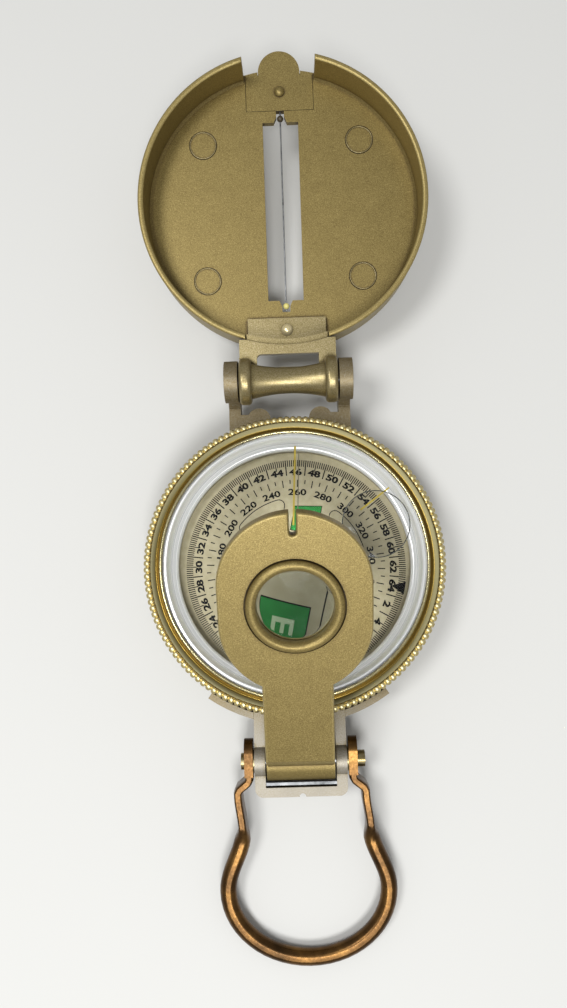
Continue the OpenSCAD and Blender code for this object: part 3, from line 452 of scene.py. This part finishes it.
def turned(outline, sweep, steps):
    """A closed outline of (radius, height) points, in millimetres, spun about the vertical axis."""
    deselect()
    bpy.ops.mesh.primitive_plane_add(size=MM, location=(0, 0, 0))
    piece = bpy.context.object
    bpy.ops.object.mode_set(mode="EDIT")
    bpy.ops.mesh.select_all(action="SELECT")
    bpy.ops.mesh.merge(type="CENTER")
    places = [Vector((r, 0, z)) * MM for r, z in outline]
    bpy.ops.transform.translate(value=places[0])
    for here, there in zip(places, places[1:] + places[:1]):
        bpy.ops.mesh.extrude_region_move(TRANSFORM_OT_translate={"value": there - here})
    bpy.ops.mesh.select_all(action="SELECT")
    bpy.ops.mesh.remove_doubles(threshold=MERGE)
    bpy.ops.mesh.spin(steps=steps, angle=math.radians(sweep), center=(0, 0, 0), axis=UP)
    return piece


def copied_round(count):
    """Copies what is selected round the case's axis, to so many in all."""
    bpy.ops.mesh.spin(steps=count - 1, angle=math.radians(360 - 360 / count),
                      center=(0, 0, 0), axis=UP, dupli=True)


def closed(piece):
    """Merges the seams of a spun piece and turns its faces outwards."""
    bpy.ops.mesh.select_all(action="SELECT")
    bpy.ops.mesh.remove_doubles(threshold=MERGE)
    bpy.ops.mesh.normals_make_consistent(inside=False)
    bpy.ops.object.mode_set(mode="OBJECT")
    return piece


# ---------------------------------------------------------------- printed marks

def clock(radius, degrees, z=0.0):
    """A point at a clockwise angle from the cover's direction."""
    a = math.radians(degrees)
    return (radius * math.sin(a), radius * math.cos(a), z)


def beside(degrees, across, along):
    """A point beside a clockwise direction: so far to its right, and so far out along it."""
    a = math.radians(degrees)
    return (across * math.cos(a) + along * math.sin(a),
            along * math.cos(a) - across * math.sin(a), 0)


def begin_marks():
    """An empty mesh, open for editing, that takes flat marks."""
    deselect()
    bpy.ops.object.add(type="MESH", location=(0, 0, 0))
    bpy.ops.object.mode_set(mode="EDIT")


def place_mark(across, along, degrees, middle):
    """Sizes the mark that was just laid at the origin, turns it clockwise and puts it in place."""
    bpy.ops.transform.resize(value=(across, along, 1), center_override=(0, 0, 0))
    # with no window, a positive angle turns clockwise
    bpy.ops.transform.rotate(value=math.radians(degrees), orient_axis="Z",
                             center_override=(0, 0, 0))
    bpy.ops.transform.translate(value=Vector(middle) * MM)


def lay_bar(start, end, width):
    """A printed line: a plane from start to end."""
    near, far = Vector(start), Vector(end)
    run = far - near
    bpy.ops.mesh.primitive_plane_add(size=MM, calc_uvs=False, location=(0, 0, 0))
    place_mark(width, run.length, math.degrees(math.atan2(run.x, run.y)), (near + far) / 2)


def finish_marks(name, node_name, place, finish):
    """Closes the marks and sets them at their place, in millimetres, as one piece."""
    bpy.ops.object.mode_set(mode="OBJECT")
    piece = bpy.context.object
    piece.data.transform(Matrix.Translation(Vector(place) * MM))
    dress(piece, name, node_name, finish)


# ---------------------------------------------------------------- dial printing

# Clockwise angle of the dial's north from the cover's direction
NORTH = 102.9
# The printing sits a little off the card's centre, as on many such dials
PRINT_PLACE = Vector((0.25, -0.36, DIAL_TOP + INK_H))
# Rings of ticks: (angle of the first from north, how many, inner and outer radius, width)
TICK_RINGS = [
    # outer scale, 6400 to the circle: at each figure, halfway between two, and the fine ones
    (0, 32, 19.15, 21.15, 0.19), (5.625, 32, 18.05, 21.15, 0.22),
    *((1.125 * step, 32, 19.85, 21.15, 0.19) for step in (1, 2, 3, 4, 6, 7, 8, 9)),
    # inner scale, in degrees: each ten, and each five between them
    (0, 36, 15.75, 17.2, 0.2), (5, 36, 16.4, 17.2, 0.2),
]
MIL_FIGURES_R, DEGREE_FIGURES_R, FIGURE_SIZE = 18.67, 14.64, 1.7
LETTERS_R, LETTER_SIZE = 9.3, 3.6
# A triangle laid with corners at 1 mm is drawn out by these
ARROW_MIDDLE_R, ARROW_HALF_W, ARROW_REACH = 20.375, 1.4586, 1.775
# A patch's left, right, near and far side, beside and along its letter's direction, and how far
# its far left corner is cut askew
PATCH = (-2.9, 2.6, 7.0, 12.55, 0)
WEST_PATCH = (-2.4, 2.64, 7.0, 12.57, 0.97)
PATCH_RIM = 0.15


def channel_outline(half_channel, outer, corner, width):
    """A thin outline of the dial's first quarter between two straight channels, bar by bar."""
    first, last = NORTH, NORTH + 90
    across = half_channel + corner
    along = math.sqrt((outer - corner) ** 2 - across ** 2)
    lean = math.atan2(along, across)
    turns = [math.pi + (lean - math.pi) * i / 6 for i in range(7)]
    bend = [(across + corner * math.cos(t), along + corner * math.sin(t)) for t in turns]
    swing = math.degrees(math.atan2(across, along))
    route = [beside(first, half_channel, half_channel)]
    route += [beside(first, x, y) for x, y in bend]
    route += [clock(outer, first + swing + (90 - 2 * swing) * i / 28) for i in range(1, 28)]
    route += [beside(last, -x, y) for x, y in reversed(bend)]
    for a, b in zip(route, route[1:] + route[:1]):
        overlap = (Vector(b) - Vector(a)).normalized() * width * 0.25
        lay_bar(Vector(a) - overlap, Vector(b) + overlap, width)


def tick_ring(first, count, inner, outer, width):
    """Ticks that point at the middle: one is laid down, then copied round."""
    lay_bar(clock(inner, NORTH + first), clock(outer, NORTH + first), width)
    copied_round(count)


def north_arrow():
    """The solid arrowhead at north, which points inwards."""
    bpy.ops.mesh.primitive_circle_add(vertices=3, radius=MM, fill_type="NGON", calc_uvs=False,
                                      location=(0, 0, 0))
    place_mark(ARROW_HALF_W, ARROW_REACH, NORTH + 180, clock(ARROW_MIDDLE_R, NORTH))


def pull_corner(place, step):
    """Moves the corner nearest a place by a step, both in millimetres."""
    data = bpy.context.object.data
    mesh = bmesh.from_edit_mesh(data)
    corner = min(mesh.verts, key=lambda v: (v.co - Vector(place) * MM).length)
    corner.co += Vector(step) * MM
    bmesh.update_edit_mesh(data)


def lay_patch(degrees, sides, grow):
    """A patch under a letter, grown all round."""
    left, right, near, far, askew = sides
    middle = (left + right) / 2
    lay_bar(beside(degrees, middle, near - grow), beside(degrees, middle, far + grow),
            right - left + 2 * grow)
    if askew:
        pull_corner(beside(degrees, left - grow, far + grow), beside(degrees, 0, -askew))


def figure(text, radius, degrees, size, height, stretch, bold, top=None):
    """One printed figure as a mesh, its top outwards or towards the clockwise angle top."""
    deselect()
    bpy.ops.object.text_add(location=(0, 0, 0))
    piece = bpy.context.object
    piece.data.body = text
    piece.data.size = size * MM
    piece.data.align_x = "CENTER"
    piece.data.align_y = "CENTER"
    piece.data.resolution_u = 3
    piece.data.offset = size * MM * bold
    bpy.ops.object.convert(target="MESH")
    turn = Matrix.Rotation(-math.radians(degrees if top is None else top), 4, "Z")
    place = Matrix.Translation((Vector(clock(radius, degrees, height)) + PRINT_PLACE) * MM)
    piece.data.transform(place @ turn @ Matrix.Diagonal((stretch, 1, 1, 1)))
    return piece


def joined(pieces):
    work_on(pieces[0])
    for piece in pieces:
        piece.select_set(True)
    bpy.ops.object.join()
    return bpy.context.object


begin_marks()
channel_outline(half_channel=4.45, outer=13.6, corner=1.1, width=0.17)
bpy.ops.mesh.select_all(action="SELECT")
copied_round(4)
for ring in TICK_RINGS:
    tick_ring(*ring)
north_arrow()
finish_marks("dial_ticks", "dial_card", PRINT_PLACE, ink)

figures = [figure(str(number), MIL_FIGURES_R, NORTH + number * 5.625, FIGURE_SIZE, 0, 1.42, 0.045)
           for number in range(2, 66, 2)]
figures += [figure(str(number), DEGREE_FIGURES_R, NORTH + number, FIGURE_SIZE, 0, 1.4, 0.03)
            for number in range(0, 360, 20)]
dress(joined(figures), "dial_figures", "dial_card", ink)

for name, grow, height, finish in (("dial_patch_rims", PATCH_RIM, 0, ink),
                                   ("dial_patches", 0, INK_H, green_ink)):
    begin_marks()
    for quarter, sides in enumerate((PATCH, PATCH, PATCH, WEST_PATCH)):
        lay_patch(NORTH + quarter * 90, sides, grow)
    finish_marks(name, "dial_card", PRINT_PLACE + Vector((0, 0, height)), finish)
letters = [figure(letter, LETTERS_R, NORTH + 90 * quarter, LETTER_SIZE, 2 * INK_H, 1.1, 0.02,
                  top=NORTH) for quarter, letter in enumerate("NESW")]
dress(joined(letters), "dial_letters", "dial_card", cream_ink)

begin_marks()
lay_bar(clock(9.5, 5.7), clock(21.6, 4.05), 0.2)
finish_marks("capsule_index_line", "capsule_glass", (0, 0, CAPSULE_GLASS_TOP + INK_H), faint_ink)
begin_marks()
lay_bar(clock(6.8, 0.4), clock(22.0, 2.2), 0.36)
lay_bar(clock(15.7, 53.8), clock(22.6, 53.8), 0.3)
finish_marks("crystal_index_lines", "bezel_crystal", (0, 0, CRYSTAL_TOP + INK_H), yellow_paint)


# ---------------------------------------------------------------- castings

def in_tilted_frame(y, z, angle):
    """A place seen from a frame tilted up about its own origin: along it, and up from it."""
    return (y * math.cos(angle) + z * math.sin(angle), z * math.cos(angle) - y * math.sin(angle))


def head_top_edge(point):
    """The outer edge of the bracket's upper face, without the seat of the lens."""
    along, up = in_tilted_frame(point.y + AXLE_Y, point.z - AXLE_Z, BRACKET_ANGLE)
    return up > PLATE_TOP - 0.05 and math.hypot(point.x, along - AXLE_Y) > 9


def ear_edge(point):
    """The ears of the case that hold the cover's hinge."""
    return abs(point.x) > 10.5 and point.y > 28


def cover_rim_edge(point):
    """The free rim of the cover's wall."""
    up = in_tilted_frame(point.y - HINGE_Y, point.z - HINGE_Z, COVER_ANGLE)[1]
    return up > COVER_H - COVER_AXIS_H - 0.1


softened("case_body", 0.2, wide=0.45, wide_where=ear_edge)
softened("cover_shell", 0.2, wide=0.35, wide_where=cover_rim_edge)
softened("cover_hinge_arm", 0.2)
softened("cover_tip_tab", 0.15)
softened("lens_bracket", 0.22, wide=0.5, wide_where=head_top_edge)
for turned_name in ("lens_retaining_ring", "thumb_loop"):
    softened(turned_name, 0.05, segments=1)


# ---------------------------------------------------------------- bezel and reflector

# (radius, height, inward and downward depth of the teeth there), outside first, from the foot up
BEZEL_OUTLINE = [
    # the skirt and the teeth
    (25.45, 8.7, 0, 0), (26.55, 8.7, 0, 0), (26.85, 8.85, 0, 0), (27.8, 9.75, 0, 0),
    (28.3, 9.95, 0.42, 0), (28.3, 12.55, 0.42, 0.02), (28.25, 12.92, 0.4, 0.12),
    (28.12, 13.22, 0.32, 0.26), (27.93, 13.42, 0.18, 0.36), (27.68, 13.53, 0.06, 0.42),
    (27.42, 13.56, 0, 0.42), (27.2, 13.52, 0, 0.38), (27.06, 13.38, 0, 0.24),
    # the slope and the groove
    (26.98, 13.12, 0, 0), (26.88, 13.12, 0, 0), (26.2, 13.02, 0, 0), (26.02, 12.92, 0, 0),
    (25.86, 12.9, 0, 0), (25.72, 13.0, 0, 0),
    # the lip
    (25.5, 13.36, 0, 0), (25.34, 13.66, 0, 0), (25.22, 13.78, 0, 0), (25.1, 13.93, 0, 0),
    (24.93, 14.0, 0, 0), (24.76, 13.94, 0, 0), (24.66, 13.78, 0, 0), (24.63, 13.5, 0, 0),
    (25.25, 13.45, 0, 0),
]
# How far down each step of a tooth lies, from its root round to the next root
TOOTH_SHAPE = [1.0, 0.3, 0.03, 0.0, 0.03, 0.3, 1.0]
TOOTH_STEPS = len(TOOTH_SHAPE) - 1
REFLECTOR_OUTLINE = [
    # the flange under the crystal
    (24.2, 10.12), (24.2, 12.72), (24.65, 12.74), (24.65, 12.86), (24.1, 12.9),
    # three steps down to the dial
    (23.95, 12.78), (23.88, 12.55), (23.3, 11.65), (23.2, 11.55), (22.55, 10.95), (22.45, 10.93),
    (22.32, 10.86), (22.22, 10.7), (22.12, 10.62), (22.0, 10.4), (21.98, 10.12),
]


def tooth_depth(r, z):
    """The inward and downward depth of the teeth at a point of the outline."""
    return next((point[2:] for point in BEZEL_OUTLINE
                 if abs(point[0] - r) < 0.01 and abs(point[1] - z) < 0.01), (0, 0))


def toothed_bezel():
    """The bezel: one tooth spun and shaped, then copied round the ring."""
    tooth = 360 / TEETH
    piece = turned([point[:2] for point in BEZEL_OUTLINE], tooth, TOOTH_STEPS)
    mesh = bmesh.from_edit_mesh(piece.data)
    for vertex in mesh.verts:
        r, z = math.hypot(vertex.co.x, vertex.co.y) / MM, vertex.co.z / MM
        inward, down = tooth_depth(r, z)
        turn = math.degrees(math.atan2(abs(vertex.co.y), vertex.co.x))
        sunk = TOOTH_SHAPE[round(turn / tooth * TOOTH_STEPS)]
        vertex.co.xy *= (r - inward * sunk) / r
        vertex.co.z -= down * sunk * MM
    bmesh.update_edit_mesh(piece.data)
    bpy.ops.mesh.select_all(action="SELECT")
    copied_round(TEETH)
    closed(piece)
    smooth(piece, 50)
    dress(piece, "toothed_bezel", "bezel_ring", gold)
    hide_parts("bezel_ring")


def stepped_reflector():
    """The bright ring under the crystal, in place of the CAD's plain one."""
    piece = closed(turned(REFLECTOR_OUTLINE, 360, 180))
    smooth(piece, 28)
    dress(piece, "stepped_reflector", "reflector_ring", silver)
    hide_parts("reflector_ring")


toothed_bezel()
stepped_reflector()


# ---------------------------------------------------------------- lenses and raised rings

def dome(radius, height, foot):
    """Points of a shallow dome's outline from its rim to its top."""
    ball = (radius ** 2 + height ** 2) / (2 * height)
    rim = math.asin(radius / ball)
    leans = [rim * (1 - i / 12) for i in range(13)]
    return [(ball * math.sin(lean), foot + height - ball + ball * math.cos(lean))
            for lean in leans]


def ground_lens(name, node_name, outline, place):
    """A turned lens with smooth faces, in place of the CAD one."""
    piece = closed(turned(outline, 360, 96))
    smooth(piece, 20)
    piece.data.transform(place)
    dress(piece, name, node_name, FINISH[node_name])
    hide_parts(node_name)
    # clear pieces cast next to no shadow; Cycles would make it a dark one
    piece.visible_shadow = False


def raised_ring(name, node_name, finish, radius, thickness, height, place, steps=96, unround=0.0):
    """A thin ring lying flat at a place; unround makes it a little irregular."""
    deselect()
    bpy.ops.mesh.primitive_torus_add(
        major_radius=radius * MM, minor_radius=thickness / 2 * MM,
        major_segments=steps, minor_segments=8, location=(0, 0, 0))
    piece = bpy.context.object
    for vertex in piece.data.vertices:
        turn = math.atan2(vertex.co.y, vertex.co.x)
        swell = (1 + unround * math.sin(2 * turn + place[0])
                 + unround * 0.6 * math.sin(5 * turn + place[1]))
        vertex.co.xy *= swell
        vertex.co.z *= 2 * height / thickness
    piece.data.transform(Matrix.Translation(Vector(place) * MM))
    smooth(piece, 60)
    return dress(piece, name, node_name, finish)


def ejector_mark(name, across, along):
    """The raised lip that an ejector pin leaves on the cover's floor."""
    # the lip takes the paler enamel, partly as a painted highlight on its rounded top
    piece = raised_ring(name, "cover_shell", worn_and_highlit_bronze, 2.6, 0.26, 0.14,
                        (across, along, COVER_FLOOR - COVER_AXIS_H), steps=48, unround=0.012)
    piece.data.transform(Matrix.Translation(Vector((0, HINGE_Y, HINGE_Z)) * MM)
                         @ Matrix.Rotation(COVER_ANGLE, 4, "X"))


# a grey ring standing in for the dome's edge line: painted shade and glint where its rim bends the
# light
raised_ring("magnifier_rim_shade_and_glint", "bezel_magnifier", magnifier_edge_shade_and_glint, MAGNIFIER_R - 0.1, 0.2, 0.14,
            clock(MAGNIFIER_REACH, MAGNIFIER_ANGLE, CRYSTAL_TOP + 0.04))
MARK_X, MARK_Y = 15.8, 13.65  # from the cover's centre
for number, (right, far) in enumerate(((1, 1), (1, -1), (-1, -1), (-1, 1)), start=1):
    ejector_mark("ejector_mark_%d" % number, right * MARK_X, COVER_REACH + far * MARK_Y)

magnifier_foot = CRYSTAL_TOP + FIT_GAP
ground_lens("ground_magnifier", "bezel_magnifier",
            [(0, magnifier_foot)] + dome(MAGNIFIER_R, MAGNIFIER_H, magnifier_foot),
            Matrix.Translation(Vector(clock(MAGNIFIER_REACH, MAGNIFIER_ANGLE)) * MM))
underside = [(r, -z) for r, z in reversed(dome(LENS_R, LENS_BULGE, 0))]
flange = [(LENS_R + LENS_FLANGE_W, 0), (LENS_R + LENS_FLANGE_W, LENS_FLANGE_H)]
ground_lens("ground_sighting_lens", "sighting_lens",
            underside + flange + dome(LENS_R, LENS_BULGE, LENS_FLANGE_H),
            Matrix.Translation(Vector((0, -AXLE_Y, AXLE_Z)) * MM)
            @ Matrix.Rotation(BRACKET_ANGLE, 4, "X")
            @ Matrix.Translation(Vector((0, LENS_REACH, LENS_SEAT)) * MM))
for clear_name in ("bezel_crystal", "capsule_glass"):
    NODES[clear_name].visible_shadow = False


# ---------------------------------------------------------------- studio

def studio_floor():
    deselect()
    bpy.ops.mesh.primitive_plane_add(size=3, location=(0, 0, 0))
    floor = bpy.context.object
    floor.name = "studio_floor"
    material, tree, shader = new_material("pale_studio_floor")
    feed(tree, shader, {"Base Color": linear("#cfcfcc"), "Roughness": 0.9})
    floor.data.materials.append(material)


def soft_lamp(name, place, target, size, power):
    data = bpy.data.lights.new(name, "AREA")
    data.shape = "DISK"
    data.size = size
    data.energy = power
    lamp = bpy.data.objects.new(name, data)
    bpy.context.scene.collection.objects.link(lamp)
    lamp.location = place
    aim = Vector(target) - Vector(place)
    lamp.rotation_euler = aim.to_track_quat("-Z", "Y").to_euler()


def studio():
    studio_floor()
    soft_lamp("key_lamp", place=(-0.25, -0.02, 0.62), target=(0, 0.01, 0), size=0.2, power=2.0)
    soft_lamp("front_lamp", place=(0.0, -0.31, 0.53), target=(0, 0, 0), size=0.2, power=2.3)
    world = bpy.data.worlds.new("studio_world")
    bpy.context.scene.world = world
    world.use_nodes = True
    feed(world.node_tree, world.node_tree.nodes["Background"], {
        "Color": (1, 1, 1, 1), "Strength": 0.42})


def camera():
    """The photograph's viewpoint, fitted to its points; lengths in pixels of the photograph."""
    focal_px, image_px, sensor = 826.3, 1008, 36
    data = bpy.data.cameras.new("camera")
    data.sensor_fit = "VERTICAL"
    data.sensor_height = sensor
    data.lens = focal_px * sensor / image_px
    data.clip_start = 0.01
    eye = bpy.data.objects.new("camera", data)
    bpy.context.scene.collection.objects.link(eye)
    eye.location = (0.000695, -0.016644, 0.166728)
    eye.rotation_euler = (0.17784, 0.02087, -0.02949)
    bpy.context.scene.camera = eye


studio()
camera()
bpy.context.scene.view_settings.view_transform = "Standard"
